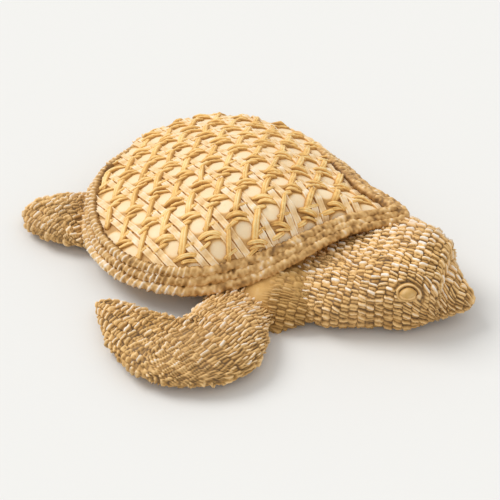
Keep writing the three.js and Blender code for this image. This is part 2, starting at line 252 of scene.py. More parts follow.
LEFT_PLAIT_TURN = math.radians(-50)
SCALES_UNTIL = 62
SCALES_FADE = 7
ROUGH_FLIPPER_SIDES = 480

# Plaited skin: columns of short raised bars with pads between, the pads fuller as scales on the arm
PLAIT_LENGTH = 5.2
PLAIT_PITCH = 4.6
PLAIT_RISE = 2.3
PLAIT_SINK = 0.9
PLAIT_GRAIN = 0.45
PLAIT_GRAIN_SIZE = 1.4
PLAIT_BAR_AT = 0.34
PLAIT_BAR_THICKNESS = 0.2
SKIN_PADS = 0.3
SCALE_PADS = 0.55

# Paint: sizes of its noises as scales, and how far each one reaches
BLOTCH_SCALE = 190
BLOTCH_REACH = 0.12
PATCH_SCALE = 34
GLOSS_SCALE = 260
ROUGHNESS_RANGE = (0.46, 0.68)
GRIT_SCALE = 900
GRIT_STRENGTH = 0.25
GRIT_DEPTH = 0.0006
SHINE = 0.35

# Camera, light and floor
CAMERA_AZIMUTH = math.radians(18)
CAMERA_ELEVATION = math.radians(38)
CAMERA_DISTANCE = 0.8028
CAMERA_TARGET = Vector((0.01278, -0.02760, 0.02676))
CAMERA_LENS = 102.05
CAMERA_SENSOR = 36
KEY_SOFTNESS = math.radians(34)
KEY_STRENGTH = 1.6
KEY_COLOUR = (1, 0.99, 0.975)
KEY_FROM_RIGHT = -0.8
KEY_FROM_AHEAD = 0.45
KEY_FROM_ABOVE = 0.95
SKY_STRENGTH = 0.74
SKY_COLOUR = (1, 0.995, 0.985, 1)
PAPER_COLOUR = (234, 234, 232)
PAPER_HALF = 3.0


# General helpers

def smooth_step(low, high, value):
    """0 below low, 1 above high, and an easy slope between."""
    t = np.clip((value - low) / (high - low), 0, 1)
    return t * t * (3 - 2 * t)


def whole_hash(*cells):
    """A repeatable number from 0 to 1 for a cell given by whole numbers."""
    total = sum(cell * weight for cell, weight in zip(cells, (12.9898, 78.233, 37.719)))
    return np.modf(np.abs(np.sin(total) * 43758.5453))[0]


def soft_noise(points, cell):
    """Smooth repeatable noise from -1 to 1, with bumps about one cell across."""
    scaled = np.asarray(points, float) / cell
    base = np.floor(scaled)
    part = scaled - base
    part = part * part * (3 - 2 * part)
    total = 0
    for corner in np.ndindex(2, 2, 2):
        weight = np.prod(np.where(corner, part, 1 - part), axis=-1)
        total = total + weight * whole_hash(*np.moveaxis(base + corner, -1, 0))
    return 2 * total - 1


def sway(run, seed, wave):
    """A slow repeatable drift between about -1 and 1 along a run."""
    return 0.6 * np.sin(run / wave + 7.1 * seed) + 0.4 * np.sin(run / (0.43 * wave) + 3.7 * seed)


def bell(value, middle, width):
    """A soft ridge, 1 high, where a value passes its middle."""
    return np.exp(-(((value - middle) / width) ** 2))


def spline_rows(rows, shares):
    """Rows of numbers smoothed as one curve, at shares of the list's length."""
    rows = np.asarray(rows, float)
    last = len(rows) - 1
    at = np.clip(shares, 0, 1) * last
    i = np.minimum(at.astype(int), last - 1)
    t = (at - i)[:, None]
    before = rows[np.maximum(i - 1, 0)]
    start = rows[i]
    end = rows[i + 1]
    after = rows[np.minimum(i + 2, last)]
    slope_in = (end - before) / 2
    slope_out = (after - start) / 2
    return hermite(start, end, slope_in, slope_out, t)


def hermite(start, end, slope_in, slope_out, t):
    """A cubic from start to end with the given slopes."""
    square = -3 * start + 3 * end - 2 * slope_in - slope_out
    cube = 2 * start - 2 * end + slope_in + slope_out
    return start + slope_in * t + square * t**2 + cube * t**3


def signed_power(value, power):
    """A power that keeps the sign."""
    return np.sign(value) * np.abs(value) ** power


def ring_distance(rings):
    """Distance round each ring from its first point."""
    steps = np.linalg.norm(np.diff(rings, axis=1), axis=2)
    return np.concatenate([np.zeros((len(rings), 1)), np.cumsum(steps, axis=1)], axis=1)


def ring_normals(rings):
    """Outward directions on a tube of rings."""
    along = np.gradient(rings, axis=0)
    around = np.roll(rings, -1, axis=1) - np.roll(rings, 1, axis=1)
    normals = np.cross(along, around)
    normals /= np.maximum(np.linalg.norm(normals, axis=2, keepdims=True), 1e-9)
    outward = rings - rings.mean(axis=1, keepdims=True)
    if np.sum(normals * outward) < 0:
        normals = -normals
    return normals


def tube_faces(count, sides, loop=False):
    """Triangles over a tube of rings, capped by fans unless the tube closes on itself."""
    rows = count if loop else count - 1
    i, j = np.meshgrid(np.arange(rows), np.arange(sides), indexing="ij")
    next_i = (i + 1) % count
    next_j = (j + 1) % sides
    a = (i * sides + j).ravel()
    b = (next_i * sides + j).ravel()
    c = (next_i * sides + next_j).ravel()
    d = (i * sides + next_j).ravel()
    faces = [np.stack([a, b, c], 1), np.stack([a, c, d], 1)]
    if not loop:
        k = np.arange(sides)
        turn = (k + 1) % sides
        low = np.full(sides, count * sides)
        high = low + 1
        end = (count - 1) * sides
        faces.append(np.stack([low, k, turn], 1))
        faces.append(np.stack([high, end + turn, end + k], 1))
    return np.concatenate(faces)


def tube(rings, tone, loop=False):
    """Points, triangles and tones of a closed tube, facing outward."""
    count, sides, _ = rings.shape
    points = rings.reshape(-1, 3)
    tones = tone.ravel()
    faces = tube_faces(count, sides, loop)
    if not loop:
        points = np.vstack([points, rings[0].mean(axis=0), rings[-1].mean(axis=0)])
        tones = np.concatenate([tones, [tone[0].mean(), tone[-1].mean()]])
    a, b, c = (points[faces[:, k]] for k in range(3))
    if np.sum(np.cross(a, b) * c) < 0:
        faces = faces[:, ::-1]
    return points, faces, tones


def joined(parts):
    """Several meshes as one."""
    points = []
    faces = []
    tones = []
    start = 0
    for part_points, part_faces, part_tones in parts:
        points.append(part_points)
        faces.append(part_faces + start)
        tones.append(part_tones)
        start += len(part_points)
    return np.vstack(points), np.vstack(faces), np.concatenate(tones)


def make_piece(name, mesh_parts, material):
    """A smooth mesh with its painted tone, which holds painted shade and painted highlights, in the part's
    frame, standing for the casting.
    """
    points, faces, tones = mesh_parts
    points = (points - (ORIGIN_X, ORIGIN_Y, 0)) * MM
    points[:, 2] = np.maximum(points[:, 2], 0)
    mesh = bpy.data.meshes.new(name)
    mesh.vertices.add(len(points))
    mesh.vertices.foreach_set("co", points.ravel())
    mesh.loops.add(faces.size)
    mesh.loops.foreach_set("vertex_index", faces.ravel().astype(np.int32))
    mesh.polygons.add(len(faces))
    mesh.polygons.foreach_set("loop_start", np.arange(0, faces.size, 3, dtype=np.int32))
    mesh.polygons.foreach_set("use_smooth", np.ones(len(faces), dtype=bool))
    # This tone attribute holds painted shade in gaps, recesses and creases and painted highlights on tops,
    # beside the thing's own tones.
    tone_and_painted_light = mesh.attributes.new("tone_and_painted_light", "FLOAT", "POINT")
    tone_and_painted_light.data.foreach_set("value", np.clip(tones, 0, 1).astype(np.float32))
    mesh.update(calc_edges=True)
    mesh.validate()
    mesh.materials.append(material)
    piece = bpy.data.objects.new(name, mesh)
    bpy.context.scene.collection.objects.link(piece)
    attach(piece, "root")
    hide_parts("turtle")


# Materials

def linear(colour):
    """A screen colour, 0 to 255 a channel, as linear light."""
    channels = [channel / 255 for channel in colour]
    return [c / 12.92 if c <= 0.04045 else ((c + 0.055) / 1.055) ** 2.4 for c in channels] + [1]


def cast_resin(name, stops, patch_colour, patch_share):
    """Painted resin: the tone, which holds painted shade and painted highlights, picks the colour, with worn
    patches, fine grain and uneven gloss.
    """
    material = bpy.data.materials.new(name)
    material.use_nodes = True
    nodes = material.node_tree.nodes
    links = material.node_tree.links
    shader = nodes["Principled BSDF"]
    place = nodes.new("ShaderNodeTexCoord")

    def noise(scale, detail):
        node = nodes.new("ShaderNodeTexNoise")
        node.inputs["Scale"].default_value = scale
        node.inputs["Detail"].default_value = detail
        links.new(place.outputs["Object"], node.inputs["Vector"])
        return node

    def spread(source, low, high):
        node = nodes.new("ShaderNodeMapRange")
        node.inputs["From Min"].default_value = 0.3
        node.inputs["From Max"].default_value = 0.7
        node.inputs["To Min"].default_value = low
        node.inputs["To Max"].default_value = high
        links.new(source.outputs["Fac"], node.inputs["Value"])
        return node

    # Painted shade and painted highlights come in through this tone attribute.
    tone_and_painted_light = nodes.new("ShaderNodeAttribute")
    tone_and_painted_light.attribute_name = "tone_and_painted_light"
    blotches = spread(noise(BLOTCH_SCALE, 3), -BLOTCH_REACH, BLOTCH_REACH)
    shifted = nodes.new("ShaderNodeMath")
    shifted.operation = "ADD"
    links.new(tone_and_painted_light.outputs["Fac"], shifted.inputs[0])
    links.new(blotches.outputs["Result"], shifted.inputs[1])
    ramp = nodes.new("ShaderNodeValToRGB")
    links.new(shifted.outputs["Value"], ramp.inputs["Fac"])
    elements = ramp.color_ramp.elements
    while len(elements) < len(stops):
        elements.new(0.5)
    for element, (position, colour) in zip(elements, stops):
        element.position = position
        element.color = linear(colour)
    patches = spread(noise(PATCH_SCALE, 2), 0, patch_share)
    worn = nodes.new("ShaderNodeMix")
    worn.data_type = "RGBA"
    worn.inputs["B"].default_value = linear(patch_colour)
    links.new(patches.outputs["Result"], worn.inputs["Factor"])
    links.new(ramp.outputs["Color"], worn.inputs["A"])
    links.new(worn.outputs["Result"], shader.inputs["Base Color"])
    gloss = spread(noise(GLOSS_SCALE, 2), *ROUGHNESS_RANGE)
    links.new(gloss.outputs["Result"], shader.inputs["Roughness"])
    bump = nodes.new("ShaderNodeBump")
    bump.inputs["Strength"].default_value = GRIT_STRENGTH
    bump.inputs["Distance"].default_value = GRIT_DEPTH
    links.new(noise(GRIT_SCALE, 4).outputs["Fac"], bump.inputs["Height"])
    links.new(bump.outputs["Normal"], shader.inputs["Normal"])
    shader.inputs["Specular IOR Level"].default_value = SHINE
    return material


# Paint ramps: the dark ends are painted shade, picked where the tone runs low in gaps, recesses and creases;
# the pale ends are partly painted highlights on raised tops and upward faces.
PAINTED_GAP_SHADE = (164, 118, 62)
FLOOR_LOOK = cast_resin(
    "hole_floor_paint",
    [(0, (188, 140, 76)), (0.35, (230, 184, 116)), (0.7, (248, 216, 168)), (1, (252, 231, 194))],
    (246, 206, 142),
    0.4,
)
RIBBON_LOOK = cast_resin(
    "flat_cane_paint",
    [(0, PAINTED_GAP_SHADE), (0.3, (206, 156, 88)), (0.65, (248, 213, 160)), (1, (255, 245, 224))],
    (240, 198, 132),
    0.3,
)
BAR_LOOK = cast_resin(
    "raised_cane_paint",
    [(0, (156, 108, 50)), (0.3, (206, 154, 80)), (0.65, (250, 200, 118)), (1, (255, 230, 168))],
    (244, 200, 126),
    0.3,
)
RIM_LOOK = cast_resin(
    "bound_rim_paint",
    [(0, (100, 64, 24)), (0.3, (186, 140, 78)), (0.6, (230, 190, 128)), (1, (255, 248, 236))],
    (220, 176, 114),
    0.3,
)
SKIN_LOOK = cast_resin(
    "plaited_skin_paint",
    [(0, (60, 34, 4)), (0.3, (186, 138, 68)), (0.6, (252, 210, 142)), (1, (255, 250, 240))],
    (214, 172, 118),
    0.35,
)
PLAIN_LOOK = cast_resin(
    "plain_body_paint",
    [(0, (124, 86, 36)), (0.3, (178, 134, 70)), (0.6, (214, 170, 100)), (1, (246, 220, 176))],
    (198, 154, 90),
    0.4,
)


# Shell surfaces

def shell_loop():
    """The shell's edge from above: front point first, down the right side and back up the left."""
    right = [(x, -width) for x, width, _ in SHELL_OUTLINE]
    left = [(x, width) for x, _, width in SHELL_OUTLINE[-2:0:-1]]
    knots = np.array(right + left, float)
    before, start, end, after = (np.roll(knots, shift, axis=0) for shift in (1, 0, -1, -2))
    gap_a, gap_b, gap_c = (
        np.sqrt(np.linalg.norm(far - near, axis=1))[:, None]
        for near, far in ((before, start), (start, end), (end, after))
    )
    slope_in = (start - before) / gap_a - (end - before) / (gap_a + gap_b) + (end - start) / gap_b
    slope_out = (end - start) / gap_b - (after - start) / (gap_b + gap_c) + (after - end) / gap_c
    t = np.linspace(0, 1, EDGE_FINENESS, endpoint=False)[None, :, None]
    pieces = [row[:, None, :] for row in (start, end, slope_in * gap_b, slope_out * gap_b)]
    return hermite(*pieces, t).reshape(-1, 2)


def even_loop(loop, count):
    """Points evenly spaced along a closed loop, and their distances along it."""
    closed = np.vstack([loop, loop[:1]])
    run = np.concatenate([[0], np.cumsum(np.linalg.norm(np.diff(closed, axis=0), axis=1))])
    spots = np.linspace(0, run[-1], count, endpoint=False)
    points = np.stack([np.interp(spots, run, closed[:, k]) for k in range(2)], axis=1)
    return points, spots, run[-1]


def inward(loop):
    """Directions that point into a closed loop."""
    along = np.roll(loop, -1, axis=0) - np.roll(loop, 1, axis=0)
    along /= np.linalg.norm(along, axis=1, keepdims=True)
    return np.stack([along[:, 1], -along[:, 0]], axis=1)


EDGE_LOOP = shell_loop()


def to_polar(x, y):
    """Direction and distance of places from the dome's top, seen from above."""
    return np.arctan2(y - DOME_TOP[1], x - DOME_TOP[0]), np.hypot(x - DOME_TOP[0], y - DOME_TOP[1])


def at_polar(angle, reach):
    """Places for directions and distances from the dome's top."""
    return DOME_TOP[0] + reach * np.cos(angle), DOME_TOP[1] + reach * np.sin(angle)


def loop_radius(angle, inset=0):
    """Distance from the dome's top to the shell's edge, or to a line inside it."""
    loop = EDGE_LOOP + inset * inward(EDGE_LOOP)
    angles, reach = to_polar(loop[:, 0], loop[:, 1])
    order = np.argsort(angles)
    return np.interp(angle, angles[order], reach[order], period=FULL_TURN)


def lip_share(x):
    """1 at the shell's front point, fading out behind it."""
    return np.exp(-(((SHELL_FRONT_X - np.minimum(x, SHELL_FRONT_X)) / LIP_REACH) ** LIP_SHARPNESS))


def edge_height(x):
    """Height of the shell's edge."""
    return EDGE_REAR_Z + EDGE_SLOPE * (x - SHELL_REAR_X) + LIP_RISE * lip_share(x)


def coil_size(x):
    """Lean of the stack of coils, their radius, and the step from one to the next."""
    lean = COIL_LEAN + (COIL_LIP_LEAN - COIL_LEAN) * lip_share(x)
    scale = 1 + (COIL_LIP_SCALE - 1) * lip_share(x)
    return lean, scale * COIL_RADIUS, scale * COIL_STEP


def shell_heights(x, y):
    """Heights of the shell's base and of its dome."""
    angle, reach = to_polar(x, y)
    radius = loop_radius(angle)
    reach = np.minimum(radius, reach)
    edge_x = at_polar(angle, radius)[0]
    lean, coil, step = coil_size(edge_x)
    middle = edge_height(DOME_TOP[0])
    base = middle + (edge_height(edge_x) - middle) * (reach / radius) ** LIP_FADE
    foot_inset = coil + (COILS - 1) * step * np.cos(lean) * DOME_FOOT_SHARE
    foot = base + (np.minimum(radius - reach, foot_inset) - coil) * np.tan(lean)
    share = np.minimum(1, reach / (radius - foot_inset))
    full = np.maximum(0, np.cos(angle - DOME_FULL_SIDE)) ** DOME_FULL_FOCUS
    flatness = DOME_FLATNESS + DOME_FULLNESS * full
    return base, foot + (base + DOME_RISE - foot) * (1 - share**flatness) ** DOME_SHOULDER


def floor_points(x, y):
    """Points on the floor of the webbing's holes."""
    return np.stack([x, y, shell_heights(x, y)[1]], axis=-1)


def floor_normals(x, y):
    """Upward directions square to that floor."""
    slope_x = (shell_heights(x + SLOPE_STEP, y)[1] - shell_heights(x - SLOPE_STEP, y)[1]) / (2 * SLOPE_STEP)
    slope_y = (shell_heights(x, y + SLOPE_STEP)[1] - shell_heights(x, y - SLOPE_STEP)[1]) / (2 * SLOPE_STEP)
    normals = np.stack([-slope_x, -slope_y, np.ones_like(slope_x)], axis=-1)
    return normals / np.linalg.norm(normals, axis=-1, keepdims=True)


def drape_table():
    """Length over the dome from its top, for each direction and each whole millimetre seen from above."""
    angle = np.linspace(-math.pi, math.pi, DRAPE_ANGLES + 1)[:, None]
    reach = np.arange(DRAPE_LIMIT + 1.0)[None, :]
    height = shell_heights(*at_polar(angle, reach))[1]
    steps = np.hypot(1, np.diff(height, axis=1))
    return np.concatenate([np.zeros((DRAPE_ANGLES + 1, 1)), np.cumsum(steps, axis=1)], axis=1)


LAID_LENGTH = drape_table()
WHOLE_MM = np.arange(DRAPE_LIMIT + 1)
LAID_REACH = np.array([np.interp(WHOLE_MM, row, WHOLE_MM) for row in LAID_LENGTH])


def read_table(table, angle, distance):
    """A table of directions and millimetres, read between its entries."""
    row = (angle + math.pi) / FULL_TURN * DRAPE_ANGLES
    i = np.clip(row.astype(int), 0, DRAPE_ANGLES - 1)
    j = np.clip(distance.astype(int), 0, DRAPE_LIMIT - 1)
    a = row - i
    b = distance - j
    near = table[i, j] * (1 - b) + table[i, j + 1] * b
    far = table[i + 1, j] * (1 - b) + table[i + 1, j + 1] * b
    return near * (1 - a) + far * a


def lattice_to_plan(u, v):
    """Places seen from above for places on the webbing's lattice."""
    cos, sin = math.cos(WEAVE_TURN), math.sin(WEAVE_TURN)
    x = WEAVE_START[0] + WEAVE_PITCH * (u * cos - v * sin)
    y = WEAVE_START[1] + WEAVE_PITCH * (u * sin + v * cos)
    angle, length = to_polar(x, y)
    return at_polar(angle, read_table(LAID_REACH, angle, length))


def hole_distance(x, y):
    """Distance over the dome to the nearest hole's middle."""
    angle, reach = to_polar(x, y)
    flat_x, flat_y = at_polar(angle, read_table(LAID_LENGTH, angle, reach))
    cos, sin = math.cos(WEAVE_TURN), math.sin(WEAVE_TURN)
    dx = (flat_x - WEAVE_START[0]) / WEAVE_PITCH
    dy = (flat_y - WEAVE_START[1]) / WEAVE_PITCH
    u = dx * cos + dy * sin
    v = dy * cos - dx * sin
    return WEAVE_PITCH * np.hypot(u - np.round(u), v - np.round(v))


def far_share(y):
    """0 on the near side of the shell and 1 on its far side, where the rim sits lower."""
    return smooth_step(FAR_RIM_FROM_Y, FAR_RIM_FULL_Y, y)


def inside_rim(x, y):
    """Whether places lie inside the rim's top coil."""
    angle, reach = to_polar(x, y)
    usual = loop_radius(angle, WEAVE_INSET)
    lowered = loop_radius(angle, FAR_WEAVE_INSET)
    return reach < usual + (lowered - usual) * far_share(y)


def shell_floor():
    """The smooth dome that the holes show, painted darker towards the strands round each hole as painted
    shade, and the shell's underside, painted dark as painted shade.
    """
    angle = np.linspace(-math.pi, math.pi, SHELL_SIDES, endpoint=False)
    radius = loop_radius(angle, FLOOR_INSET)
    top_shares = np.linspace(TOP_SHARE, 1, SHELL_RINGS)
    rings = []
    tones = []
    for share in top_shares:
        x, y = at_polar(angle, share * radius)
        rings.append(floor_points(x, y))
        # Painted shade: the floor darkens from each hole's middle towards the strands round it.
        tones.append(1 - smooth_step(HOLE_PALE_TO, HOLE_DARK_FROM, hole_distance(x, y)))
    for share in SOFFIT_SHARES:
        x, y = at_polar(angle, share * radius)
        base = shell_heights(x, y)[0] - SOFFIT_DROP
        rings.append(np.stack([x, y, base], axis=1))
        # Painted shade: the underside is painted dark.
        tones.append(np.full(SHELL_SIDES, SOFFIT_TONE))
    return tube(np.array(rings), np.array(tones))


# Strands of the webbing

def strand_runs(u, v):
    """Stretches of a strand that lie inside the rim."""
    inside = inside_rim(*lattice_to_plan(u, v))
    ends = np.flatnonzero(np.diff(np.concatenate([[0], inside.astype(int), [0]])))
    return [slice(a, b) for a, b in ends.reshape(-1, 2) if b - a > SHORTEST_RUN]


def laid_section(x, y, half_width, top, section):
    """Rings of a strand along a line on the dome, with a wall down to the floor on each side."""
    across, rise, _ = np.array(section).T
    spine = floor_points(x, y)
    normals = floor_normals(x, y)
    sideways = np.cross(normals, np.gradient(spine, axis=0))
    sideways /= np.linalg.norm(sideways, axis=1, keepdims=True)
    lift = np.where(rise < 0, rise * STRAND_SINK, rise * top[:, None])
    width = half_width[:, None] * across
    return spine[:, None] + width[..., None] * sideways[:, None] + lift[..., None] * normals[:, None]


def strand(u, v, half_width, top, section, seed):
    """A long strand of cane along a line on the lattice, painted lighter where it stands taller and darker
    down its walls, as painted light and shade.
    """
    tone = np.array(section).T[2]
    parts = []
    for run in strand_runs(u, v):
        points = laid_section(*lattice_to_plan(u[run], v[run]), half_width[run], top[run], section)
        # Painted light: stretches that stand taller are painted lighter.
        lift = smooth_step(0.6, 2.6, top[run])[:, None]
        rough = soft_noise(points, 2)
        points[..., 2] += RIBBON_ROUGHNESS * rough
        # Speckle: partly random tone, partly painted shade and light that follow the roughness bumps.
        speckle_and_bump_shade = 0.1 * soft_noise(points, 5) + 0.14 * rough + 0.04 * whole_hash(seed)
        parts.append(tube(points, tone * (0.68 + 0.36 * lift) + speckle_and_bump_shade))
    return parts


# Ribbon section: across, rise, tone; the tone is painted shade low on the walls and painted highlight where
# the section stands highest.
RIBBON_SECTION = [
    (-1.0, -1, 0.1),
    (-1.02, 0.45, 0.4),
    (-0.92, 0.95, 0.85),
    (-0.72, 1.04, 0.95),
    (-0.45, 0.84, 0.72),
    (-0.15, 0.93, 0.82),
    (0.15, 0.93, 0.82),
    (0.45, 0.84, 0.72),
    (0.72, 1.04, 0.95),
    (0.92, 0.95, 0.85),
    (1.02, 0.45, 0.4),
    (1.0, -1, 0.1),
]
# Bar section: across, rise, tone; the tone is painted shade down both walls and a little more on the
# right-hand slope, and painted highlight on the raised tops.
BAR_SECTION = [
    (-1.05, -1, 0.0),
    (-1.08, 0.2, 0.06),
    (-0.95, 0.62, 0.3),
    (-0.7, 0.92, 0.72),
    (-0.4, 1.04, 1.0),
    (-0.05, 0.84, 0.6),
    (0.3, 1.0, 0.95),
    (0.7, 0.82, 0.6),
    (0.95, 0.45, 0.2),
    (1.05, -1, 0.0),
]

# Short bars of cane in each cell: start, bend and end on the lattice, half width and height
STEEP_BARS = [((0.44, -0.97), (0.08, -0.62), (-0.36, -0.24), 1.9, 3.0)]
CROSS_BARS = [
    ((-0.34, -0.54), (-0.34, -0.28), (-0.3, 0.02), 1.4, 2.3),
    ((0.27, 0), (0.28, 0.28), (0.31, 0.55), 1.4, 2.3),
]
ARCH_BARS = [
    ((-0.64, -0.22), (-0.6, 0.16), (-0.28, 0.32), 1.5, 2.7),
    ((-0.48, -0.2), (-0.44, 0.06), (-0.16, 0.36), 1.1, 1.8),
]


def ribbons():
    """Pairs of flat pale cane that run down to the right."""
    parts = []
    count = int(2 * WEAVE_REACH * WEAVE_PITCH / STRAND_STEP)
    for row in range(-WEAVE_REACH, WEAVE_REACH):
        for side in (-1, 1):
            u = np.linspace(-WEAVE_REACH, WEAVE_REACH, count)
            seed = row + 0.4 * side
            v = row + 0.5 + side * RIBBON_OFFSET + RIBBON_SIDE_DRIFT * sway(u, seed + 3, 0.8)
            half_width = RIBBON_HALF_WIDTH + RIBBON_WIDTH_DRIFT * sway(u, seed, 0.6)
            wave = side * RIBBON_WAVE * np.sin(2 * FULL_TURN * (u - 0.5))
            top = RIBBON_HEIGHT + wave - RIBBON_DIP * np.cos(FULL_TURN * u)
            parts += strand(u, v, half_width, top, RIBBON_SECTION, seed)
    return joined(parts)


def bars(kinds, seed):
    """Short tapered bars of cane, the same few in each cell but none quite alike, painted darker towards
    their low ends and down their walls as painted shade.
    """
    tone = np.array(BAR_SECTION).T[2]
    t = np.linspace(0, 1, BAR_STATIONS)
    taper = np.sqrt(np.clip(1 - (2 * t - 1) ** 4, 0, 1))
    parts = []
    for i in range(-WEAVE_REACH, WEAVE_REACH + 1):
        for j in range(-WEAVE_REACH, WEAVE_REACH + 1):
            for kind, (start, bend, end, half_width, height) in enumerate(kinds):
                chance = [float(whole_hash(i, j, seed + kind + 0.37 * k)) - 0.5 for k in range(9)]
                knots = np.array([start, bend, end]) + np.reshape(chance[:6], (3, 2)) * BAR_STRAY
                weights = np.stack([(1 - t) ** 2, 2 * t * (1 - t), t**2], axis=1)
                spot = weights @ knots
                x, y = lattice_to_plan(i + spot[:, 0], j + spot[:, 1])
                if not inside_rim(x, y).all():
                    continue
                width = half_width * (1 + BAR_WIDTH_SPREAD * chance[6]) * (0.45 + 0.55 * taper)
                top = height * (1 + BAR_HEIGHT_SPREAD * chance[7]) * (0.3 + 0.7 * np.sin(math.pi * t) ** 0.7)
                points = laid_section(x, y, width, top, BAR_SECTION)
                rough = soft_noise(points, 1.5)
                points = points + BAR_ROUGHNESS * rough[..., None] * floor_normals(x, y)[:, None]
                # Painted shade: each bar is painted darker towards its low ends, with random tone per bar;
                # the rough term paints bumps lighter and dips darker.
                shade = 0.4 + 0.55 * np.sin(math.pi * t)[:, None] ** 0.8 + BAR_TONE_SPREAD * chance[8]
                parts.append(tube(points, tone * shade + 0.2 * rough))
    return joined(parts)


# Bound rim

def rim():
    """Three coils round the shell's edge, bound with wraps and knotted towards the front, each coil painted
    darker away from its upper, outer face as painted shade.
    """
    loop, run, length = even_loop(EDGE_LOOP, RIM_STATIONS)
    into = inward(loop)
    lean, thick, step = (value[:, None] for value in coil_size(loop[:, 0]))
    turn = np.linspace(0, FULL_TURN, COIL_SIDES, endpoint=False)[None, :]
    outward = np.pi / 2 - lean + turn
    forward = loop[:, :1] - 0.4 * np.minimum(loop[:, 1:], 0)
    knotted = smooth_step(KNOTS_FROM_X, KNOTS_FULL_X, forward)
    level = edge_height(loop[:, :1]) - FAR_RIM_DROP * far_share(loop[:, 1:])
    parts = []
    for coil, (spacing, band_width, groove, ground) in enumerate(COIL_WRAPS):
        wraps = round(length / spacing)
        phase = run[:, None] / length * wraps + 0.25 * np.sin(turn) + 0.37 * coil
        phase = phase + 0.2 * sway(run[:, None], coil, 9)
        number = np.round(phase)
        band = bell(phase - number, 0, band_width)
        strength = 0.6 + 0.7 * whole_hash(number, coil)
        bound = WRAP_RISE * band * strength - groove
        tone = ground + 0.6 * band * strength

        def points(radius):
            inset = thick + coil * step * np.cos(lean) - radius * np.cos(outward)
            height = level + coil * step * np.sin(lean) + radius * np.sin(outward)
            plan = loop[:, None, :] + into[:, None, :] * inset[..., None]
            return np.concatenate([plan, height[..., None]], axis=2)

        plain = points(thick)
        lumps = soft_noise(plain, KNOT_SIZE) + 0.5 * soft_noise(plain + 50, 3)
        grain = RIM_GRAIN * soft_noise(plain, RIM_GRAIN_SIZE)
        swell = (WRAP_SHARE * bound + grain) * (1 - knotted) + (KNOT_SWELL + KNOT_RISE * lumps) * knotted
        radius = thick * (1 + swell)
        # Knot lumps and grain are painted lighter where they stand out and darker where they sink: painted
        # light on their bumps.
        tone = (tone + grain) * (1 - knotted) + (0.4 + 0.36 * lumps) * knotted
        # Painted shade: each coil is painted darker on all but its upper, outer face, most of all underneath
        # and into the gaps between coils.
        tone = tone * (0.12 + 0.88 * smooth_step(-0.1, 0.65, np.cos(turn))) + 0.1 * soft_noise(plain, 7)
        parts.append(tube(points(radius), tone, loop=True))
    return joined(parts)


# Relief of the plaited skin

def plait(across, along, padding):
    """Rise of columns of raised bars with sunk pads below them, and a painted highlight line along each
    bar's upper edge.
    """
    column = np.round(across / PLAIT_LENGTH)
    off = across / PLAIT_LENGTH - column
    beat = along / PLAIT_PITCH + 0.5 * (column % 2) + 0.5 * whole_hash(column, 2.0)
    cell = np.floor(beat)
    chance = [whole_hash(column, cell, float(k)) - 0.5 for k in range(5)]
    down = beat - cell + 0.6 * chance[0] * off + 0.16 * chance[1]
    thickness = PLAIT_BAR_THICKNESS * (1 + 0.7 * chance[2])
    bar = np.sqrt(np.clip(1 - ((down - PLAIT_BAR_AT) / thickness) ** 2, 0, 1))
    bar = bar * (0.8 + 0.7 * chance[3]) * np.clip(1 - np.abs(off / 0.56) ** 6, 0, 1)
    pad = padding * smooth_step(0.56, 0.7, down) * smooth_step(1.04, 0.92, down) * (0.9 + 0.9 * chance[4])
    pad = pad * np.clip(1 - np.abs(off / 0.48) ** 6, 0, 1)
    # Painted highlight: a pale line along the upper edge of each bar.
    line = bell(down, PLAIT_BAR_AT - 0.25 * thickness, 0.55 * thickness)
    return np.maximum(bar, pad), bar * line * smooth_step(-0.1, 0.3, chance[1])


def plait_tone(rise, streak, painted_highlight):
    """Paint tone of the plait: painted shade in the low gaps, golden pads and bars, and painted highlight
    lines as strong as asked.
    """
    body = 0.42 * smooth_step(0.02, 0.3, rise) + 0.24 * smooth_step(0.4, 0.9, rise)
    return 0.03 + body + 0.75 * painted_highlight * streak


# Neck and head

def head_rows(x):
    """Half width, top, bottom and sideways place of the head at distances forward."""
    table = spline_rows(HEAD_STATIONS, np.linspace(0, 1, HEAD_TABLE_ROWS))
    return [np.interp(x, table[:, 0], table[:, k]) for k in range(1, 5)]


def head_ring(x, turn):
    """Points round the head at a distance forward."""
    half, top, bottom, side = (value[:, None] for value in head_rows(x))
    cos, sin = np.cos(turn), np.sin(turn)
    jaw = JAW_POWER + (BEAK_POWER - JAW_POWER) * np.clip((x[:, None] - BEAK_FROM_X) / BEAK_LENGTH, 0, 1)
    power = np.where(sin > 0, CROWN_POWER, jaw)
    y = side + half * signed_power(cos, power)
    z = (top + bottom) / 2 + (top - bottom) / 2 * signed_power(sin, power)
    return np.stack([np.broadcast_to(x[:, None], y.shape), y, z], axis=2)


def even_rings(rings, count, sparse_below):
    """Rings with evenly spaced points, and few of them underneath."""
    closed = np.concatenate([rings, rings[:, :1]], axis=1)
    steps = np.linalg.norm(np.diff(closed, axis=1), axis=2)
    low = (closed[:, 1:, 2] + closed[:, :-1, 2]) / 2 < sparse_below[:, None]
    weight = np.cumsum(steps * np.where(low, BOTTOM_SPARSENESS, 1), axis=1)
    weight = np.concatenate([np.zeros((len(rings), 1)), weight], axis=1)
    spots = np.linspace(0, 1, count, endpoint=False)
    even = np.empty((len(rings), count, 3))
    for row in range(len(rings)):
        for axis in range(3):
            even[row, :, axis] = np.interp(spots * weight[row, -1], weight[row], closed[row, :, axis])
    return even


def head_skin(x, z, side):
    """Sideways place of the head's skin on one side, above its middle."""
    half, top, bottom, middle = head_rows(x)
    high = np.clip((2 * z - top - bottom) / (top - bottom), 0, 1) ** (1 / CROWN_POWER)
    return middle + side * half * np.sqrt(1 - high**2) ** CROWN_POWER


def eye_centre(side):
    """Middle of an eye, on the skin."""
    x = EYE_X + side * EYE_TURN
    z = EYE_Z - side * EYE_TILT
    return np.array([x, float(head_skin(x, z, side)), z])


